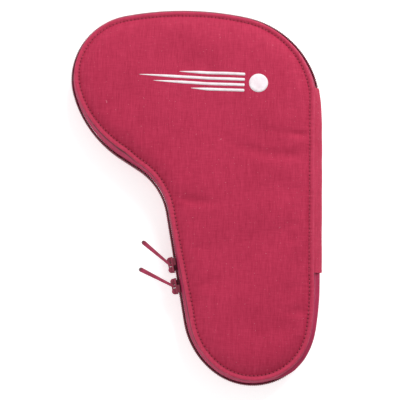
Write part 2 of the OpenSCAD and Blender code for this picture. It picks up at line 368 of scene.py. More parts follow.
def blurred(field, mask):
    """A lattice field smoothed by a Gaussian, counting only the cells inside the mask."""
    fx, fy = np.meshgrid(np.fft.fftfreq(field.shape[0]), np.fft.fftfreq(field.shape[1]), indexing="ij")
    bell = np.exp(-2 * (np.pi * BLUR_CELLS) ** 2 * (fx**2 + fy**2))
    top = np.fft.ifft2(np.fft.fft2(field * mask) * bell).real
    under = np.fft.ifft2(np.fft.fft2(mask) * bell).real
    return top / np.maximum(under, 1e-3)


def gathers(side):
    """How a pressed cloth pinned along the stitch line gathers: simulated heights on a square lattice,
    less their own blur, so that only the gathers are left. Returns the lattice's corner and the heights."""
    stitch_line = inset_ring(800, STITCH_IN)
    low, high = stitch_line.min(0) - 2 * CELL, stitch_line.max(0) + 2 * CELL
    x, y = np.meshgrid(np.arange(low[0], high[0], CELL), np.arange(low[1], high[1], CELL), indexing="ij")
    flat = np.stack([x.ravel(), y.ravel()], 1)
    depth = nearest(flat, stitch_line) * np.where(inside(flat, stitch_line), 1, -1)
    rng = np.random.default_rng(40 + side)
    height = RISE * puff(depth) + rng.uniform(-0.15, 0.15, len(flat)) * MM
    quads = grid(*x.shape)[0][:, ::-1]
    quads = quads[(depth[quads] > -0.6 * CELL).all(1)]
    used, quads = np.unique(quads, return_inverse=True)
    points = np.column_stack([flat, height])[used]
    cloth = bpy.data.meshes.new("pressed cloth")
    cloth.from_pydata(points.tolist(), [], quads.reshape(-1, 4).tolist())
    sheet = linked("pressed cloth", cloth)
    pins = sheet.vertex_groups.new(name="stitched")
    held = depth[used] < 0.8 * CELL
    for which, weight in ((held, 1.0), (~held, 0.05)):
        pins.add(np.flatnonzero(which).tolist(), weight, "REPLACE")
    settings = sheet.modifiers.new("cloth", "CLOTH").settings
    for key, value in CLOTH.items():
        setattr(settings, key, value)
    settings.effector_weights.gravity = 0
    for step in range(1, CLOTH_FRAMES + 1):
        bpy.context.scene.frame_set(step)
    settled = sheet.evaluated_get(bpy.context.evaluated_depsgraph_get())
    moved = np.zeros(len(used) * 3, np.float32)
    settled.data.vertices.foreach_get("co", moved)
    bpy.context.scene.frame_set(1)
    bpy.data.objects.remove(sheet)
    bpy.data.meshes.remove(cloth)
    field = np.zeros(len(flat))
    field[used] = moved.reshape(-1, 3)[:, 2] - height[used]
    mask = np.zeros(len(flat))
    mask[used] = 1
    field, mask = field.reshape(x.shape), mask.reshape(x.shape)
    field = (field - blurred(field, mask)) * mask
    return low, np.clip(GATHER_SHARE * field, -GATHER_MOST, GATHER_MOST)


def sampled(corner, field, xy):
    """Values of a lattice field between its points, by bilinear weights."""
    at = (xy - corner) / CELL
    at = np.clip(at, 0, np.array(field.shape) - 1.001)
    i, j = at.astype(int).T
    f, g = (at - at.astype(int)).T
    near = field[i, j] * (1 - g) + field[i, j + 1] * g
    far = field[i + 1, j] * (1 - g) + field[i + 1, j + 1] * g
    return near * (1 - f) + far * f


GATHERS = {side: gathers(side) for side in SIDES.values()}


def cover_height(xy, inset, side):
    """Height of the cover's outer face: the pad's rise, soft unevenness, creases and gathers."""
    hold = 1 - np.exp(-inset / (5 * MM))
    height = pad_level(inset)
    height += hold * (0.26 * MM * swell(xy, 75 * MM, 11 + side) + 0.10 * MM * swell(xy, 26 * MM, 21 + side))
    height -= hold * creases(xy, side)
    height += hold * sampled(*GATHERS[side], xy)
    if side == BACK:
        height = np.minimum(height, TOP_H)
    return height


# ================= Shell layers =================
FILL_MARK = [0.5, 20.0]


def pillow(name, side, s, profile, relief, top, bottom, cell):
    """A closed padded form that fills the outline. The profile's rows (distance in from the panel's edge,
    height) run from the ring under it, out round its edge, to the ring on top; relief adds to their heights,
    and the two rings are filled with lattices whose heights are functions of place and inset. UV is the
    count of stitches round it and the distance in from the panel's edge in mm."""
    rows, cols = len(profile), len(s)
    point, inward, lean = rim(s)
    away = profile[:, :1] + lean[None]
    xy = point[None] + away[..., None] * inward[None]
    height = profile[:, 1:] + relief + np.zeros(cols)
    quads, row, col = grid(rows, cols, wrap_cols=True)
    uvs = [np.stack([col / PER_STITCH, profile[row, 0] / MM], -1)]
    points = [np.column_stack([xy.reshape(-1, 2), height.ravel()])]
    faces = [quads]
    total = rows * cols
    for ring_row, heights in ((0, bottom), (rows - 1, top)):
        ring = xy[ring_row]
        extra, triangles = fill(ring, cell)
        inset = profile[ring_row, 0] - STITCH_IN + nearest(extra, ring)
        points.append(np.column_stack([extra, heights(extra, inset)]))
        index = np.concatenate([ring_row * cols + np.arange(cols), total + np.arange(len(extra))])
        ordered = index[triangles]
        faces.append(ordered if ring_row else ordered[:, ::-1])
        uvs.append(np.tile(FILL_MARK, ordered.shape + (1,)))
        total += len(extra)
    points = np.concatenate(points)
    points[:, 2] = MID_Z + side * points[:, 2]
    return build(name, points, faces, uvs)


# The cover's rows in mm: the welt's (distance in, height above the edge), then the pad's insets.
WELT = [(4.5, 0.1), (1.6, 0.1), (0.5, 0.12), (0.12, 0.35), (0, 0.8), (0.1, 1.3), (0.42, 1.76), (0.95, 2.06),
        (1.6, 2.1), (2.2, 1.92), (2.8, 1.6), (3.3, 1.3), (3.62, 1.12), (3.8, 1.05)]
PAD_INSETS = np.array([0.2, 0.5, 0.9, 1.4, 2.0, 2.8, 3.8, 5.0, 6.6, 8.6, 11, 14]) * MM
COVER_CELL, LAYER_CELL = 2.2 * MM, 3.6 * MM
LAYER_STATIONS = 420
STITCH_LOOP = even(10)[1]
STITCHES = round(STITCH_LOOP / STITCH_PITCH)


def pad_rows(s, insets, side):
    """Heights of the cover along rows that run round the outline, each at its inset from the stitch line."""
    point, inward, lean = rim(s)
    xy = point[None] + (STITCH_IN + insets[:, None] + lean[None])[..., None] * inward[None]
    heights = cover_height(xy.reshape(-1, 2), np.repeat(insets, len(s)), side)
    return heights.reshape(len(insets), len(s))


def pad_profile(edge, insets):
    """Profile rows for a pillow: those of its edge, then flat ones at the insets, for relief to lift."""
    return np.concatenate([edge, np.column_stack([STITCH_IN + insets, np.zeros(len(insets))])])


def cover(side_name):
    """The canvas cover: a welt between the seam and the topstitch, then the puffed pad. Each needle hole
    pulls the cloth down, and the pull dies away within a few millimetres on both sides."""
    side = SIDES[side_name]
    cols = STITCHES * PER_STITCH
    s = even(cols)[0]
    welt = np.array(WELT) * MM + [0, EDGE_H]
    profile = pad_profile(welt, PAD_INSETS)
    relief = np.concatenate([np.zeros((len(welt), cols)), pad_rows(s, PAD_INSETS, side)])
    stitch = np.arange(cols) / PER_STITCH
    turns = np.arange(cols) / cols
    pull = 0.5 + 0.5 * np.cos(2 * np.pi * stitch)
    uneven = 1 + 0.5 * ripple(turns, 2.5 / STITCHES, 5 + side)
    gone = profile[:, :1] - STITCH_IN
    near = np.exp(-np.abs(gone) / np.where(gone < 0, 1.3 * MM, 1.1 * MM))
    far = np.exp(-np.abs(gone) / (4.5 * MM))
    outer = (profile[:, 1:] > EDGE_H + 0.3 * MM) | (gone >= 0)
    relief -= outer * near * 0.34 * MM * (pull * uneven)[None]
    away = np.abs(gone) > 0.1 * MM
    relief += outer * far * 0.13 * MM * ripple(turns, 1.4 / STITCHES, 7 + side)[None] * away
    relief += outer * 0.12 * MM * ripple(turns, 9 / STITCHES, 9 + side)[None] * (gone < 0)

    def top(xy, inset):
        return cover_height(xy, inset, side)

    def bottom(xy, inset):
        return np.maximum(cover_height(xy, inset, side) - CANVAS_T, EDGE_H + GAP)

    return pillow(f"{side_name}_cover", side, s, profile, relief, top, bottom, COVER_CELL)


def padding(side_name):
    """The foam sheet under the cover, with rounded edges."""
    side = SIDES[side_name]
    s = even(LAYER_STATIONS)[0]
    drop = CANVAS_T + GAP
    edge = np.array([(3.4, 0.14), (2.3, 0.2), (2, 0.45), (2.2, 0.75)]) * MM + [STITCH_IN, EDGE_H]
    insets = np.array([2.7, 3.6, 5, 7, 10, 14]) * MM
    profile = pad_profile(edge, insets)
    relief = np.zeros((len(profile), len(s)))
    relief[len(edge) :] = np.minimum(pad_rows(s, insets, side), pad_level(insets)[:, None]) - drop

    def top(xy, inset):
        return np.minimum(cover_height(xy, inset, side), pad_level(inset)) - drop

    def bottom(xy, inset):
        return np.maximum(pad_level(inset) - drop - FOAM_T, EDGE_H + 0.14 * MM)

    return pillow(f"{side_name}_padding", side, s, profile, relief, top, bottom, LAYER_CELL)


def lining_level(inset):
    """Height of the lining's face towards the foam."""
    return np.maximum(pad_level(inset) - CANVAS_T - FOAM_T - 3 * GAP, EDGE_H - 0.1 * MM)


def lining(side_name):
    """The lining: a thin cloth tray that follows the foam's inner face, a little slack."""
    side = SIDES[side_name]
    s = even(LAYER_STATIONS)[0]
    insets = np.array([14, 11, 8.5, 6.5, 4.8, 3.4, 2.2, 1.4]) * MM
    inner = np.column_stack([STITCH_IN + insets, lining_level(insets) - CLOTH_T])
    outer = np.column_stack([STITCH_IN + insets[::-1], lining_level(insets[::-1])])
    tip = np.array([[STITCH_IN + 1 * MM, EDGE_H - 0.25 * MM]])
    profile = np.concatenate([inner, tip, outer])

    def slack(xy, inset):
        hold = 1 - np.exp(-np.maximum(inset - 9 * MM, 0) / (8 * MM))
        waves = 0.22 * MM * swell(xy, 42 * MM, 31 + side) + 0.12 * MM * swell(xy, 17 * MM, 33 + side)
        return np.abs(hold * waves)

    def top(xy, inset):
        return lining_level(inset) - slack(xy, inset)

    def bottom(xy, inset):
        return lining_level(inset) - CLOTH_T - slack(xy, inset)

    return pillow(f"{side_name}_lining_cloth", side, s, profile, 0, top, bottom, LAYER_CELL)


def band(name, side, s, away, height, closed, marks=None):
    """A closed profile carried along the rim. away and height are arrays of profile points by stations, and
    away is measured from the rim. UV is the distance along the rim and round the profile, in metres, or the
    marks given for the profile's points."""
    point, inward, _ = rim(s)
    rows, cols = away.shape
    xy = point[None] + away[..., None] * inward[None]
    z = MID_Z + side * height
    quads, row, col = grid(rows, cols, wrap_rows=True, wrap_cols=closed)
    step = np.hypot(np.diff(away[:, 0], append=away[:1, 0]), np.diff(height[:, 0], append=height[:1, 0]))
    girth = np.concatenate([[0], np.cumsum(step)])
    if marks is not None:
        girth = np.append(marks, marks[0])
    run = np.append(s, s[-1] + (s[1] - s[0]))
    uvs = [np.stack([run[col], girth[row]], -1)]
    faces = [quads]
    if not closed:
        ends = np.arange(rows) * cols
        faces.append(np.stack([ends[::-1], ends + cols - 1]))
        uvs.append(np.zeros((2, rows, 2)))
    return build(name, np.dstack([xy, z]), faces, uvs)


def from_base(line, lean):
    """Turns profile points (distance, base, height) in mm into distances from the rim and heights."""
    away = line[:, :1] * MM + line[:, 1:2] * lean[None]
    return away, np.repeat(line[:, 2:] * MM, len(lean), 1)


def two_faced(away, height, thickness, lowest=-np.inf):
    """A cloth's line and back along its other face, a thickness off along the line's own normal."""
    slope_d, slope_h = np.gradient(away, axis=0), np.gradient(height, axis=0)
    size = np.hypot(slope_d, slope_h)
    under_d = away + thickness * slope_h / size
    under_h = np.maximum(height - thickness * slope_d / size, lowest)
    return np.concatenate([away, under_d[::-1]]), np.concatenate([height, under_h[::-1]])


ZIP_GAP = 0.3 * MM
# Towards the spine's lower end the tape folds out over the coil: how far, from how far off, how gradually.
FOLD_OUT, FOLD_FROM, FOLD_RUN = 2.4 * MM, 105 * MM, 25 * MM


def zip_strip(side_name):
    """The woven tape: from the coil it leans in to the panel's edge, then turns under the cover. Towards the
    lower end of the spine it folds out over the coil."""
    side = SIDES[side_name]
    s = np.linspace(SPINE_END + ZIP_GAP, LOOP - ZIP_GAP, 620)
    e = EDGE_H / MM
    front = curve_through([(2.45, 0, 0.45), (2.45, 0, 2.2), (2.5, 0, 3.6), (2.6, 0.06, 4.6), (2.3, 0.2, 5.7),
                           (1.4, 0.55, 7.8), (0.15, 0.97, e - 1.1), (0.9, 1, e - 0.3), (1.7, 1, e - 0.02),
                           (4.5, 1, e)], 5)
    away, height = from_base(front, rim(s)[2])
    fold = eased(np.clip((s - LOOP + FOLD_FROM) / FOLD_RUN, 0, 1))
    away = away - FOLD_OUT * fold[None] * np.exp(-(((height - 4.6 * MM) / (1.2 * MM)) ** 4))
    share = np.clip((height - 3.4 * MM) / (EDGE_H - 4 * MM), 0, 1)
    turns = (s - SPINE_END) / (LOOP - SPINE_END)
    wave = ripple(turns, 0.06, 51 + side) * 0.7 + ripple(turns, 0.022, 61 + side) * 0.35
    away = away + np.sin(np.pi * share) * 0.3 * MM * wave[None]
    return band(f"{side_name}_zip_strip", side, s, *two_faced(away, height, CLOTH_T, SLIT), False)


def zip_teeth(side_name):
    """Half of the coil: a flattened helix of nylon wire whose heads reach past the mid plane, half a pitch
    from the other half's, round a filler cord. Two parameters: the way along the helix and round the wire."""
    side = SIDES[side_name]
    first, last = SPINE_END + 1 * MM, LOOP - 1 * MM
    turns = int((last - first) / TOOTH_PITCH) - 1
    per_turn, around = 14, 6
    phase = np.arange(turns * per_turn + 1) / per_turn
    angle = 2 * np.pi * phase
    shift = 0.25 if side == FRONT else 0.75
    s = first + (phase + shift + 0.5) * TOOTH_PITCH
    reach_h = (COIL_H + SLIT + 0.35 * MM) / 2 - WIRE_R
    mid_h = COIL_H + SLIT - reach_h - WIRE_R
    half_t = COIL_T / 2 - WIRE_R
    away = COIL_T / 2 - half_t * squared(np.cos(angle), 0.75)
    height = mid_h + reach_h * squared(np.sin(angle), 0.75)
    point, inward, _ = rim(s)
    line = np.column_stack([point + away[:, None] * inward, MID_Z + side * height])
    ahead = unit(np.gradient(line, axis=0))
    along = np.column_stack([inward[:, 1], -inward[:, 0], np.zeros(len(s))])
    across = unit(along - dot(along, ahead) * ahead)
    out = np.cross(ahead, across)
    turn = full_turn(around)[None, :, None]
    wire = line[:, None] + WIRE_R * (np.cos(turn) * across[:, None] + np.sin(turn) * out[:, None])
    quads, row, col = grid(len(line), around, wrap_cols=True)
    uvs = [np.stack([row * TOOTH_PITCH / per_turn, col / around * MM], -1)]
    caps = np.stack([np.arange(around)[::-1], np.arange(around) + (len(line) - 1) * around])
    teeth = build(f"{side_name}_zip_teeth", wire, [quads, caps], uvs + [np.zeros((2, around, 2))])
    cord_s = np.linspace(first, last, 420)
    turn = np.repeat(full_turn(8)[:, None], len(cord_s), 1)
    core_away = COIL_T / 2 + (half_t - WIRE_R) * 0.98 * np.cos(turn)
    core_height = mid_h + (reach_h - WIRE_R - 0.3 * MM) * np.sin(turn)
    core = band(f"{side_name}_zip_core", side, cord_s, core_away, core_height, False)
    return teeth, core


def seam_binding(side_name):
    """The woven binding over the raw seam inside: a flat tube with rounded edges and a slight wave."""
    side = SIDES[side_name]
    s = np.linspace(0, LOOP, 640, endpoint=False)
    lean = rim(s)[2]
    turn = full_turn(20)
    width, thick = 2.15 * MM, 0.36 * MM
    high = EDGE_H - CLOTH_T - 0.15 * MM - thick
    wave = ripple(s / LOOP, 0.03, 71 + side)
    away = 3.3 * MM + width * squared(np.cos(turn), 0.5)[:, None] + 0.15 * MM * wave[None] + lean[None]
    height = high + thick * squared(np.sin(turn), 0.7)[:, None] + 0 * lean[None]
    return band(f"{side_name}_seam_binding", side, s, away, height, True)


def stitches(name, centres, ahead, up, length, radius, arch, sink):
    """Separate stitches, each a short arched capsule: t runs along it from -1 to 1, with the height
    arch * (1 - t^2) - sink * t^4, and the second parameter runs round the thread."""
    around = 6
    t = np.array([-1, -0.86, -0.55, 0, 0.55, 0.86, 1])
    turn = full_turn(around)[:, None]
    wide = radius * np.sqrt(np.maximum(1 - np.abs(t) ** 5, 0.03))
    aside = np.cross(up, ahead)
    line = centres[:, None] + ahead[:, None] * (t * length / 2)[None, :, None]
    line = line + up[:, None] * (arch * (1 - t**2) - sink * t**4)[None, :, None]
    ring = np.cos(turn) * aside[:, None, None] + np.sin(turn) * up[:, None, None]
    points = line[:, :, None] + wide[None, :, None, None] * ring
    one = len(t) * around
    quads, row, col = grid(len(t), around, wrap_cols=True)
    shift = (np.arange(len(centres)) * one)[:, None, None]
    caps = np.stack([np.arange(around)[::-1], np.arange(around) + one - around])
    uv = np.stack([t[row] * length / 2, col / around * 2 * np.pi * radius], -1)
    uv = np.broadcast_to(uv, (len(centres),) + uv.shape).reshape(-1, 4, 2)
    faces = [(quads[None] + shift).reshape(-1, 4), (caps[None] + shift).reshape(-1, around)]
    return build(name, points, faces, [uv, np.zeros((2 * len(centres), around, 2))])


def seam_stitching(name, side, away, height, length, radius, facing):
    """A row of stitches all the way round, between the needle holes at the stations that cover() uses."""
    s = even(STITCHES)[0] + STITCH_PITCH * LOOP / STITCH_LOOP / 2
    point, inward, lean = rim(s)
    rng = np.random.default_rng(90 + side)
    ahead = np.column_stack([inward[:, 1], -inward[:, 0], rng.uniform(-0.03, 0.03, len(s))])
    lean_in = rng.uniform(-0.05, 0.05, len(s))[:, None] * np.column_stack([inward, np.zeros(len(s))])
    level = np.full(len(s), MID_Z + side * height)
    centres = np.column_stack([point + (away + lean)[:, None] * inward, level])
    up = np.tile([0, 0, side * facing], (len(s), 1)).astype(float)
    return stitches(name, centres, unit(ahead + lean_in), up, length, radius, 0.16 * MM, 0.42 * MM)


# ================= Spine =================
def spine_cloth(name, outer, thickness, first, last, proud_ends):
    """A strip of cloth from one panel's edge over the fold to the other's. outer is its line (distance,
    base, height) in mm on the front side; the back mirrors it, and the inner face lies a thickness inside."""
    s = np.linspace(first, last, 190)
    half = curve_through(outer, 4)
    whole = np.concatenate([half, (half * [1, 1, -1])[::-1][1:]])
    away, height = from_base(whole, rim(s)[2])
    wave = 0.14 * MM * ripple(s / LOOP, 0.035, 81)[None] * np.exp(-((height / (9 * MM)) ** 4))
    away = away + np.maximum(wave, -0.05 * MM)
    tuck = 1.3 * MM * np.exp(-(((last - s) / (22 * MM)) ** 2))
    away = away + tuck[None] * np.exp(-((height / (9 * MM)) ** 4))
    end = np.minimum(s - first, last - s)
    puffed = proud_ends * np.exp(-((end - 1.6 * MM) / (1.2 * MM)) ** 2)
    away = away - puffed[None] * np.exp(-((height / (8 * MM)) ** 4))
    girth = np.append(0, np.cumsum(np.hypot(np.diff(away[:, 0]), np.diff(height[:, 0]))))
    marks = np.concatenate([np.minimum(girth, girth[-1] - girth), np.zeros(len(girth))])
    return band(name, FRONT, s, *two_faced(away, height, thickness), False, marks)


def spine_end_tacks():
    """Two short rows of stitches across each folded end of the spine cloth."""
    rows = []
    high = np.linspace(-6.5, 6.5, 7) * MM
    for station in (1.6 * MM, 2.9 * MM, SPINE_END - 2.9 * MM, SPINE_END - 1.6 * MM):
        point, inward, _ = rim(np.full(len(high), station))
        away = -0.65 * MM + np.maximum(np.abs(high) - 3 * MM, 0) * 0.66 + 1.3 * MM * (station > SPINE_END / 2)
        centre = np.column_stack([point + (away - 0.08 * MM)[:, None] * inward, MID_Z + high])
        out = np.column_stack([-inward, np.zeros(len(high))])
        tilt = np.sign(high) * np.where(np.abs(high) > 3 * MM, -0.55, 0)
        ahead = unit(np.column_stack([inward * -tilt[:, None], np.ones(len(high))]))
        rows.append((centre, ahead, unit(out - dot(out, ahead) * ahead)))
    centre, ahead, up = (np.concatenate(part) for part in zip(*rows))
    return stitches("spine_end_tacks", centre, ahead, up, 1.7 * MM, THREAD_R, 0.14 * MM, 0.4 * MM)


# ================= Print =================
BALL_D = 15 * MM
LINE_L = 84 * MM
LINE_W = 2.2 * MM
PRINT_AT = np.array([58, 85]) * MM
PRINT_TILT = math.radians(-2)
TRAILS = [(0.62, 2.4), (1, 0.8), (0.86, -0.8), (0.5, -2.4)]
INK_T = 0.13 * MM
TRAIL_FROM = -BALL_D - 4 * MM


def ink_shapes():
    """Outlines of the printed ball and its trailing lines, which taper to a point, in the print's frame."""
    turn = full_turn(72)
    ball = np.stack([-BALL_D / 2 + BALL_D / 2 * np.cos(turn), BALL_D / 2 * np.sin(turn)], 1)
    shapes = [ball]
    ahead = np.linspace(0, 1, 60)
    half = LINE_W / 2 * np.minimum(1, (1 - ahead) * 3.2) ** 0.7
    cap = np.linspace(-np.pi / 2, np.pi / 2, 9)[1:-1]
    for share, level in TRAILS:
        middle = level * LINE_W * 1.25
        x = TRAIL_FROM - ahead * share * LINE_L
        nose = np.stack([TRAIL_FROM + LINE_W / 2 * np.cos(cap) * 0.6, middle + LINE_W / 2 * np.sin(cap)], 1)
        upper, lower = np.stack([x, middle + half], 1), np.stack([x, middle - half], 1)[:-1]
        shapes.append(np.concatenate([upper, lower[::-1], nose]))
    return shapes


def ball_print():
    """Thin ink that follows the cover's outer face."""
    c, s = math.cos(PRINT_TILT), math.sin(PRINT_TILT)
    turned = np.array([[c, s], [-s, c]])
    stitch_line = inset_ring(800, STITCH_IN)
    points, faces, total = [], [], 0
    for shape in ink_shapes():
        ring = shape @ turned + PRINT_AT
        extra, triangles = fill(ring, 1.6 * MM)
        xy = np.concatenate([ring, extra])
        level = cover_height(xy, nearest(xy, stitch_line), FRONT)
        n = len(xy)
        points += [np.column_stack([xy, MID_Z + level + thick]) for thick in (INK_T, -INK_T)]
        around = np.arange(len(ring))
        after = np.roll(around, -1)
        wall = np.stack([around + n, after + n, after, around], 1) + total
        faces.append((triangles + total, triangles[:, ::-1] + n + total, wall))
        total += 2 * n
    tops, unders, walls = zip(*faces)
    return build("ball_print", np.concatenate(points), [np.concatenate(tops + unders), np.concatenate(walls)])


# ================= Castings =================
SHARP = math.radians(40)


def casting(node, bevel):
    """A copy of a CAD node's mesh with its loose triangles joined, its flat faces made whole and its
    edges rounded."""
    piece = linked(f"{node}_cast", frame["nodes"][node].data.copy())
    mesh = bmesh.new()
    mesh.from_mesh(piece.data)
    bmesh.ops.remove_doubles(mesh, verts=mesh.verts, dist=2e-6)
    bmesh.ops.dissolve_limit(mesh, angle_limit=math.radians(0.5), verts=mesh.verts, edges=mesh.edges)
    mesh.to_mesh(piece.data)
    mesh.free()
    rounding = piece.modifiers.new("rounded edges", "BEVEL")
    rounding.width = bevel
    rounding.segments = 3
    rounding.limit_method = "ANGLE"
    rounding.angle_limit = SHARP
    rounding.use_clamp_overlap = True
    with bpy.context.temp_override(object=piece, active_object=piece):
        bpy.ops.object.modifier_apply(modifier=rounding.name)
    piece.data.polygons.foreach_set("use_smooth", np.ones(len(piece.data.polygons), bool))
    piece.data.set_sharp_from_angle(angle=SHARP)
    return piece


def mark_length(piece, pin, tip):
    """Stores how far each point lies from the pin to the tip, 0 to 1, for the paint's darker tip."""
    co = np.zeros(len(piece.data.vertices) * 3)
    piece.data.vertices.foreach_get("co", co)
    way = np.array(tip) - np.array(pin)
    share = (co.reshape(-1, 3) - np.array(pin)) @ way / (way @ way)
    layer = piece.data.attributes.new("reach", "FLOAT", "POINT")
    layer.data.foreach_set("value", share.astype(np.float32))


# ================= Material groups =================
class Field:
    """A node's output. Arithmetic with numbers and other fields adds Math nodes to its tree."""

    def __init__(self, socket):
        self.socket = socket

    def math(self, operation, other=0.0):
        return out("Math", {"operation": operation}, {0: self, 1: other})

    def __add__(self, other):
        return self.math("ADD", other)

    def __sub__(self, other):
        return self.math("SUBTRACT", other)

    def __mul__(self, other):
        return self.math("MULTIPLY", other)

    def __truediv__(self, other):
        return self.math("DIVIDE", other)

    def __rtruediv__(self, other):
        return out("Math", {"operation": "DIVIDE"}, {0: other, 1: self})

    def spread(self, low, high, to_low=0.0, to_high=1.0):
        """The value mapped from one range to another, and held inside it."""
        inputs = {"Value": self, "From Min": low, "From Max": high, "To Min": to_low, "To Max": to_high}
        return out("MapRange", {"clamp": True}, inputs)


def add(kind, props, inputs):
    """A shader node with its properties and inputs set. Fields are linked, and say which tree it is in."""
    tree = next(value.socket.id_data for value in inputs.values() if isinstance(value, Field))
    node = tree.nodes.new(f"ShaderNode{kind}")
    for key, value in props.items():
        setattr(node, key, value)
    for key, value in inputs.items():
        if isinstance(value, Field):
            tree.links.new(value.socket, node.inputs[key])
        else:
            node.inputs[key].default_value = value
    return node


def out(kind, props, inputs, pick=0):
    """One output of a new node."""
    return Field(add(kind, props, inputs).outputs[pick])


def parts(vector):
    """A vector's three parts."""
    return [Field(socket) for socket in add("SeparateXYZ", {}, {0: vector}).outputs]


def mixed(factor, a, b, blend="MIX"):
    """Two colours mixed by a factor."""
    return out("Mix", {"data_type": "RGBA", "blend_type": blend}, {0: factor, 6: a, 7: b}, 2)


def scaled(vector, size):
    """A vector times the three numbers of size."""
    return out("VectorMath", {"operation": "MULTIPLY"}, {0: vector, 1: size})


def noise(vector, size, detail, rough=0.5):
    """Smooth noise from 0 to 1 whose lumps are about that size."""
    return out("TexNoise", {}, {"Vector": vector, "Scale": 1 / size, "Detail": detail, "Roughness": rough})


def bumped(height, distance):
    """A bump over a real height in metres."""
    return out("Bump", {}, {"Height": height, "Distance": distance, "Strength": 1.0})


def new_group(name, output, inside, **numbers):
    """A shader group: a vector and named numbers go in, and the field that inside makes of them comes out."""
    tree = bpy.data.node_groups.new(name, "ShaderNodeTree")
    tree.interface.new_socket("Vector", in_out="INPUT", socket_type="NodeSocketVector")
    for label, value in numbers.items():
        tree.interface.new_socket(label, in_out="INPUT", socket_type="NodeSocketFloat").default_value = value
    tree.interface.new_socket(output, in_out="OUTPUT", socket_type="NodeSocketFloat")
    given = tree.nodes.new("NodeGroupInput").outputs
    result = inside(*(Field(given[label]) for label in ("Vector", *numbers)))
    tree.links.new(result.socket, tree.nodes.new("NodeGroupOutput").inputs[output])
    return tree


def weave(vector, pitch):
    """Plain weave: warp and weft take turns on top in a checker, each a rounded thread."""
    x, y = (part / pitch for part in parts(vector)[:2])
    hump_x, hump_y = ((v * math.pi).math("SINE").math("ABSOLUTE") for v in (x, y))
    checker = (x.math("FLOOR") + y.math("FLOOR")).math("PINGPONG", 1.0)
    sides = {0: checker, 2: hump_x * (hump_y * 0.6 + 0.4), 3: hump_y * (hump_x * 0.6 + 0.4)}
    return out("Mix", {"data_type": "FLOAT"}, sides)


def streaks(vector, width, length):
    """Uneven yarn: long thin streaks along Y, at a fine and a broad scale, with weaker ones along X."""

    def stretched(wide, high, detail):
        size = out("CombineXYZ", {}, {0: 1.0 / wide, 1: 1.0 / high, 2: 1 / (20 * MM)})
        return noise(scaled(vector, size), 1.0, detail, 0.55)

    fine = stretched(width, length, 2.0)
    broad = stretched(width * 3.0, length * 3.0, 1.0)
    weft = stretched(length, width, 1.0)
    return (fine * 0.5 + broad * 0.2 + weft * 0.3).spread(0.36, 0.64)


def lint(vector, spacing, size):
    """Tiny scattered fibres and dust: the small middles of some cells of a warped pattern."""
    warp = out("TexNoise", {}, {"Vector": vector, "Scale": 260.0, "Detail": 1.0}, "Color")
    pushed = out("VectorMath", {"operation": "MULTIPLY_ADD"}, {0: warp, 1: (4 * MM,) * 3, 2: vector})
    props = {"feature": "F1", "voronoi_dimensions": "2D"}
    cells = add("TexVoronoi", props, {"Vector": pushed, "Scale": 1.0 / spacing}).outputs
    chance = out("SeparateColor", {}, {0: Field(cells["Color"])})
    return Field(cells["Distance"]).math("LESS_THAN", size) * chance.math("GREATER_THAN", 0.45)


def mottle(vector, size):
    """Broad soft variation in dye and wear, from 0 to 1."""
    return noise(vector, size, 3.0, 0.6).spread(0.3, 0.7)


WEAVE = new_group("Plain weave", "Height", weave, Pitch=0.5 * MM)
STREAKS = new_group("Yarn streaks", "Value", streaks, Width=0.7 * MM, Length=14 * MM)
LINT = new_group("Lint", "Mask", lint, Spacing=7 * MM, Size=0.06)
MOTTLE = new_group("Mottle", "Value", mottle, Size=30 * MM)


def use(group, vector, **numbers):
    """A group placed in the tree that the vector is in."""
    return out("Group", {"node_tree": group}, {"Vector": vector, **numbers})


def srgb(r, g, b):
    """A display colour, 0 to 255, as the linear colour that a shader takes."""
    c = np.array([r, g, b]) / 255
    linear = np.where(c <= 0.04045, c / 12.92, ((c + 0.055) / 1.055) ** 2.4)
    return (*linear.tolist(), 1.0)


def material(name, constants):
    """A material whose Principled shader's fixed numbers are set, with its Object and UV coordinates."""
    made = bpy.data.materials.new(name)
    made.use_nodes = True
    nodes = made.node_tree.nodes
    for key, value in constants.items():
        nodes["Principled BSDF"].inputs[key].default_value = value
    place = nodes.new("ShaderNodeTexCoord").outputs
    return made, Field(place["Object"]), Field(place["UV"])


def finished(made, colour, roughness, normal=None, metallic=None):
    """Links what varies over the surface to the material's shader."""
    shader = made.node_tree.nodes["Principled BSDF"].inputs
    fields = {"Base Color": colour, "Roughness": roughness, "Normal": normal, "Metallic": metallic}
    for key, field in fields.items():
        if field is not None:
            made.node_tree.links.new(field.socket, shader[key])
    return made


# ================= Materials =================
CANVAS_PITCH = 0.55 * MM


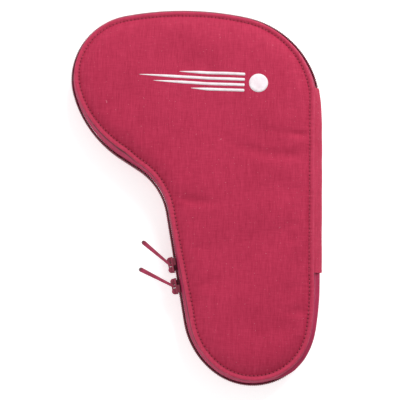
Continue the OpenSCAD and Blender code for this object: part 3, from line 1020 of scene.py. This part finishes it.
def canvas_material(name, holes):
    """Crimson melange canvas: plain weave, uneven yarn and a little lint, with painted shade in the needle
    holes and a painted highlight on the welt outside the topstitch of a cover, or painted shade along both
    edges of the spine cloth."""
    made, place, surface = material(name, {
        "Sheen Weight": 0.12, "Sheen Roughness": 0.45, "Sheen Tint": srgb(236, 120, 150),
        "Specular IOR Level": 0.2})
    woven = use(WEAVE, place, Pitch=CANVAS_PITCH)
    yarn = use(STREAKS, place, Width=0.55 * MM, Length=8 * MM)
    broad = use(MOTTLE, place, Size=40 * MM)
    dust = use(LINT, place, Spacing=6 * MM, Size=0.03)
    colour = mixed(yarn * 0.8 + broad * 0.2, srgb(166, 32, 65), srgb(193, 49, 84))
    deep = woven.spread(0.0, 0.7, 0.86, 1.03)
    colour = mixed(1.0, colour, out("CombineColor", {}, {0: deep, 1: deep, 2: deep}), "MULTIPLY")
    colour = mixed(dust * 0.35, colour, srgb(232, 170, 186))
    count, inward, _ = parts(surface)
    if holes:
        along = count.math("PINGPONG", 0.5) * (STITCH_PITCH / MM)
        across = inward - STITCH_IN / MM
        far = (along.math("POWER", 2.0) + across.math("POWER", 2.0)).math("SQRT")
        # painted highlight: the welt outside the topstitch is tinted lighter
        colour = mixed(across.spread(-0.9, 0.6, 0.16, 0.0), colour, srgb(226, 92, 122))
        # painted shade: darkening round each needle hole on the topstitch line
        colour = mixed(far.spread(0.3, 0.75, 0.8, 0.0), colour, srgb(70, 8, 26))
    else:
        # painted shade: darker lines along the seams at both edges of the spine cloth
        off_seam = (inward - 4.1 * MM).math("ABSOLUTE")
        colour = mixed(off_seam.spread(0.3 * MM, 0.9 * MM, 0.8, 0.0), colour, srgb(60, 8, 26))
    return finished(made, colour, yarn.spread(0.0, 1.0, 0.78, 0.66), bumped(woven + yarn * 0.6, 0.11 * MM))


def tape_material():
    """Zip tape: herringbone twill whose ribs change direction every few ribs, and painted shade along its
    edge under the cover's welt.
    """
    made, place, surface = material("zip tape", {
        "Sheen Weight": 0.06, "Sheen Roughness": 0.4, "Sheen Tint": srgb(210, 130, 165),
        "Specular IOR Level": 0.3})
    along, girth, _ = parts(surface)
    rib = ((girth.math("PINGPONG", 1.6 * MM) + along) / (0.55 * MM)).math("PINGPONG", 1.0)
    weft = (along / (0.3 * MM)).math("PINGPONG", 1.0)
    yarn = use(STREAKS, surface, Width=9 * MM, Length=0.6 * MM)
    broad = use(MOTTLE, place, Size=22 * MM)
    colour = mixed(rib * 0.35 + yarn * 0.35 + broad * 0.3, srgb(142, 26, 62), srgb(182, 48, 88))
    # painted shade: the tape darkens where it runs under the cover's welt
    colour = mixed(girth.spread(8.7 * MM, 9.4 * MM, 0.0, 0.9), colour, srgb(52, 10, 24))
    return finished(made, colour, rib.spread(0.0, 1.0, 0.72, 0.58), bumped(rib + weft * 0.4, 0.08 * MM))


def teeth_material():
    """Dyed nylon wire, glossy, darker and lighter from tooth to tooth."""
    made, place, _ = material("nylon coil", {
        "Coat Weight": 1.0, "Coat Roughness": 0.12, "Specular IOR Level": 0.7})
    broad = use(MOTTLE, place, Size=3 * MM)
    colour = mixed(broad, srgb(112, 18, 44), srgb(150, 36, 68))
    return finished(made, colour, broad.spread(0.0, 1.0, 0.24, 0.36),
                    bumped(noise(place, 0.25 * MM, 1.0), 0.015 * MM))


def thread_material(name, dark, light):
    """Twisted thread: slanting plies from the surface's own UV."""
    made, place, surface = material(name, {
        "Sheen Weight": 0.15, "Sheen Roughness": 0.4, "Specular IOR Level": 0.4})
    along, girth, _ = parts(surface)
    ply = ((along + girth * 0.8) / (0.24 * MM)).math("PINGPONG", 1.0)
    broad = use(MOTTLE, place, Size=4 * MM)
    return finished(made, mixed(ply * 0.6 + broad * 0.4, dark, light), ply.spread(0.0, 1.0, 0.62, 0.45),
                    bumped(ply, 0.05 * MM))


def lining_material(name, dark, light, pitch, by_surface):
    """Dark nylon cloth: a fine weave with a soft sheen, and a little dust."""
    made, place, surface = material(name, {
        "Sheen Weight": 0.3, "Sheen Roughness": 0.35, "Sheen Tint": srgb(170, 165, 175),
        "Specular IOR Level": 0.35})
    ground = surface if by_surface else place
    woven = use(WEAVE, ground, Pitch=pitch)
    yarn = use(STREAKS, ground, Width=0.6 * MM, Length=18 * MM)
    dust = use(LINT, place, Spacing=8 * MM, Size=0.03)
    colour = mixed(dust * 0.35, mixed(yarn, dark, light), srgb(150, 146, 148))
    return finished(made, colour, woven.spread(0.0, 1.0, 0.7, 0.5), bumped(woven, 0.06 * MM))


def foam_material():
    """Closed-cell foam: pale grey with fine pores."""
    made, place, _ = material("foam", {"Specular IOR Level": 0.25})
    pores = out("TexVoronoi", {"feature": "SMOOTH_F1"}, {"Vector": place, "Scale": 1 / (0.9 * MM)})
    broad = use(MOTTLE, place, Size=18 * MM)
    return finished(made, mixed(broad, srgb(196, 192, 184), srgb(214, 211, 204)),
                    pores.spread(0.0, 0.8, 0.95, 0.8), bumped(pores, 0.1 * MM))


def ink_material():
    """Screen-printed ink: off-white, taking the weave's relief, thin where the threads dip."""
    made, place, _ = material("printed ink", {"Specular IOR Level": 0.4})
    woven = use(WEAVE, place, Pitch=CANVAS_PITCH)
    broad = use(MOTTLE, place, Size=6 * MM)
    colour = mixed(broad, srgb(228, 214, 220), srgb(244, 238, 241))
    colour = mixed(woven.spread(0.0, 0.25, 0.35, 0.0), colour, srgb(206, 120, 142))
    return finished(made, colour, broad.spread(0.0, 1.0, 0.62, 0.5), bumped(woven, 0.06 * MM))


def paint_material(name, dark_tip):
    """Enamel over cast metal: crimson with a soft orange-peel, rubbed through in specks and, when asked,
    darker grey and more metallic towards the far end of a puller."""
    made, place, _ = material(name, {
        "Coat Weight": 0.5, "Coat Roughness": 0.16, "Specular IOR Level": 0.55})
    broad = use(MOTTLE, place, Size=5 * MM)
    speck = noise(place, 0.7 * MM, 3.0)
    wear_and_dark_tip = speck.spread(0.7, 0.76, 0.0, 0.8)
    # Towards a puller's far end the paint turns darker grey and more metallic.
    if dark_tip:
        stored = made.node_tree.nodes.new("ShaderNodeAttribute")
        stored.attribute_name = "reach"
        edge = Field(stored.outputs["Fac"]) + (speck - 0.5) * 0.12
        wear_and_dark_tip = wear_and_dark_tip.math("MAXIMUM", edge.spread(0.915, 0.97, 0.0, 0.9))
    colour = mixed(wear_and_dark_tip, mixed(broad, srgb(132, 22, 54), srgb(164, 40, 78)), srgb(92, 74, 76))
    peel = bumped(noise(place, 0.8 * MM, 1.0), 0.03 * MM)
    return finished(made, colour, broad.spread(0.0, 1.0, 0.3, 0.4), peel, wear_and_dark_tip * 0.75)


def steel_material():
    """Rolled spring steel with fine lengthwise brushing."""
    made, place, _ = material("spring steel", {"Metallic": 1.0})
    brushed = noise(scaled(place, (1 / (0.1 * MM), 1 / (1.5 * MM), 1 / (0.1 * MM))), 1.0, 2.0)
    return finished(made, mixed(brushed, srgb(176, 176, 180), srgb(214, 214, 218)),
                    brushed.spread(0.3, 0.7, 0.24, 0.4))


def floor_material():
    """A plain pale floor."""
    made, place, _ = material("pale floor", {
        "Specular IOR Level": 0.2, "Emission Color": (1, 1, 1, 1), "Emission Strength": 0.45})
    broad = use(MOTTLE, place, Size=0.5)
    return finished(made, mixed(broad, (0.9, 0.9, 0.9, 1), (0.92, 0.92, 0.92, 1)),
                    broad.spread(0.0, 1.0, 0.7, 0.75))


CANVAS = canvas_material("canvas", True)
SPINE_CANVAS = canvas_material("spine canvas", False)
TAPE = tape_material()
TEETH = teeth_material()
CORE = thread_material("filler cord", srgb(84, 14, 36), srgb(110, 24, 52))
THREAD = thread_material("crimson thread", srgb(150, 30, 58), srgb(206, 70, 102))
DARK_THREAD = thread_material("dark thread", srgb(28, 24, 27), srgb(62, 56, 60))
LINING = lining_material("lining", srgb(38, 34, 37), srgb(66, 60, 64), 0.45 * MM, False)
BINDING = lining_material("binding", srgb(30, 27, 30), srgb(58, 53, 57), 0.6 * MM, True)
FOAM = foam_material()
INK = ink_material()
PAINT = paint_material("slider enamel", False)
PULLER_PAINT = paint_material("puller enamel", True)
STEEL = steel_material()


# ================= Assembly =================
def fit(piece, finish, body=None, replaced=()):
    """Gives a piece its finish and the body it rides on, and hides the CAD nodes it stands for."""
    piece.data.materials.clear()
    piece.data.materials.append(finish)
    if body:
        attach(piece, body)
    if replaced:
        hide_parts(*replaced)
    return piece


def ring_area(distance):
    """Area inside a line that runs that far in from the panel's edge, by the shoelace formula."""
    x, y = inset_ring(2000, distance).T
    return abs((x * np.roll(y, -1) - y * np.roll(x, -1)).sum()) / 2


for shell_name, shell_side in SIDES.items():
    body = f"{shell_name}_shell"
    shell_cover = fit(cover(shell_name), CANVAS, body, [f"{shell_name}_panel"])
    shell_foam = fit(padding(shell_name), FOAM, body, [f"{shell_name}_foam"])
    shell_lining = fit(lining(shell_name), LINING, body, [f"{shell_name}_lining"])
    min(ring_area(STITCH_IN + 1 * MM), 0.18 * 0.28)
    fit(zip_strip(shell_name), TAPE, body, [f"{shell_name}_zip_tape"])
    shell_teeth, shell_core = zip_teeth(shell_name)
    fit(shell_teeth, TEETH, body, [f"{shell_name}_coil"])
    fit(shell_core, CORE, body)
    fit(seam_binding(shell_name), BINDING, body, [f"{shell_name}_edge_binding"])
    topstitch = seam_stitching(f"{shell_name}_stitching", shell_side, STITCH_IN, GROOVE_H + 0.12 * MM,
                               2.5 * MM, THREAD_R, 1)
    fit(topstitch, THREAD, body, [f"{shell_name}_topstitch"])
    inner_row = seam_stitching(f"{shell_name}_binding_stitching", shell_side, 2.3 * MM, EDGE_H - 1.52 * MM,
                               2.4 * MM, 0.2 * MM, -1)
    fit(inner_row, DARK_THREAD, body)

edge = EDGE_H / MM
SPINE_LINE = [(4.4, 1, edge - 0.05), (1.5, 1, edge - 0.05), (0.75, 1, edge - 0.5), (-0.1, 0.97, edge - 1.3),
              (-0.45, 0.8, edge - 2.6), (-0.5, 0.42, 6), (-0.6, 0.08, 3.2), (-0.65, 0, 1.2), (-0.65, 0, 0)]
SPINE_INNER = [(2.4, 1, edge - 1.7), (1.5, 1, edge - 2.1), (0.95, 0.85, edge - 3.6), (0.75, 0.42, 5.4),
               (0.6, 0.08, 3), (0.5, 0, 1.2), (0.5, 0, 0)]
strip = spine_cloth("spine_cloth", SPINE_LINE, SPINE_T, -0.5 * MM, SPINE_END + 0.5 * MM, 0.25 * MM)
fit(strip, SPINE_CANVAS, None, ["front_spine", "back_spine"])
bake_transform(strip)
inner_strip = spine_cloth("spine_inner_cloth", SPINE_INNER, CLOTH_T, 0.5 * MM, SPINE_END - 0.5 * MM, 0.0)
fit(inner_strip, LINING, None, ["front_spine_lining", "back_spine_lining"])
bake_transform(inner_strip)
tacks = fit(spine_end_tacks(), THREAD)
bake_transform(tacks)
fit(ball_print(), INK, "front_shell", ["front_print"])

pins = {j["child"]: j["pos"] if "pos" in j else j["pos_m"] for j in frame["joints"] if j["type"] == "hinge"}
for slider in ("upper", "lower"):
    for part, finish, slot_name, bevel in (
        ("slider_body", PAINT, "slider_paint", 0.32 * MM),
        ("slider_crown", PAINT, "slider_paint", 0.5 * MM),
        ("slider_spring", STEEL, "spring_steel", 0.04 * MM),
    ):
        fit(casting(f"{slider}_{part}", bevel), finish, f"{slider}_slider", [f"{slider}_{part}"])
    puller = casting(f"{slider}_puller", 0.3 * MM)
    low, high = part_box(f"{slider}_puller")
    mark_length(puller, pins[f"{slider}_puller"], (low.x, high.y, MID_Z))
    fit(puller, PULLER_PAINT, f"{slider}_puller", [f"{slider}_puller"])

# ================= Stage, light and camera =================
floor_mesh = bpy.data.meshes.new("floor")
corners = ((-3, -3), (3, -3), (3, 3), (-3, 3))
floor_mesh.from_pydata([(x, y, -0.2 * MM) for x, y in corners], [], [(0, 1, 2, 3)])
floor = linked("floor", floor_mesh)
floor.data.materials.append(floor_material())


def aimed(place, target, roll=0.0):
    """A rotation that looks from place to target, with +Y up in the picture, rolled by an angle."""
    back = (Vector(place) - Vector(target)).normalized()
    up = Vector((-math.sin(roll), math.cos(roll), 0))
    right = up.cross(back).normalized()
    return Matrix((right, back.cross(right), back)).transposed().to_4x4()


def softbox(name, place, size, watts):
    """A square area light aimed at the case."""
    light = bpy.data.lights.new(name, "AREA")
    light.size = size
    light.energy = watts
    linked(name, light).matrix_world = Matrix.Translation(place) @ aimed(place, (0, 0, MID_Z))


# Each light: name, place and size in metres, watts.
for lamp in (("key light", (0.45, 0.85, 0.75), 0.6, 13), ("fill light", (-0.95, -0.45, 0.55), 0.7, 5)):
    softbox(*lamp)
world = bpy.data.worlds.new("studio")
bpy.context.scene.world = world
world.use_nodes = True
sky = world.node_tree.nodes["Background"].inputs
sky["Color"].default_value = (1, 1, 1, 1)
sky["Strength"].default_value = 0.5

CAMERA_LENS, CAMERA_ROLL = 62.28, math.radians(1.4)
camera_data = bpy.data.cameras.new("camera")
camera_data.lens = CAMERA_LENS
camera_data.sensor_width = 36
camera_data.clip_start = 0.01
camera_data.clip_end = 20
camera = linked("camera", camera_data)
eye = Vector((22.55, -74.34, 570)) * MM
aim = Vector((5.89, -6.73, 18)) * MM
camera.matrix_world = Matrix.Translation(eye) @ aimed(eye, aim, CAMERA_ROLL)
bpy.context.scene.camera = camera
bpy.context.scene.view_settings.view_transform = "Standard"
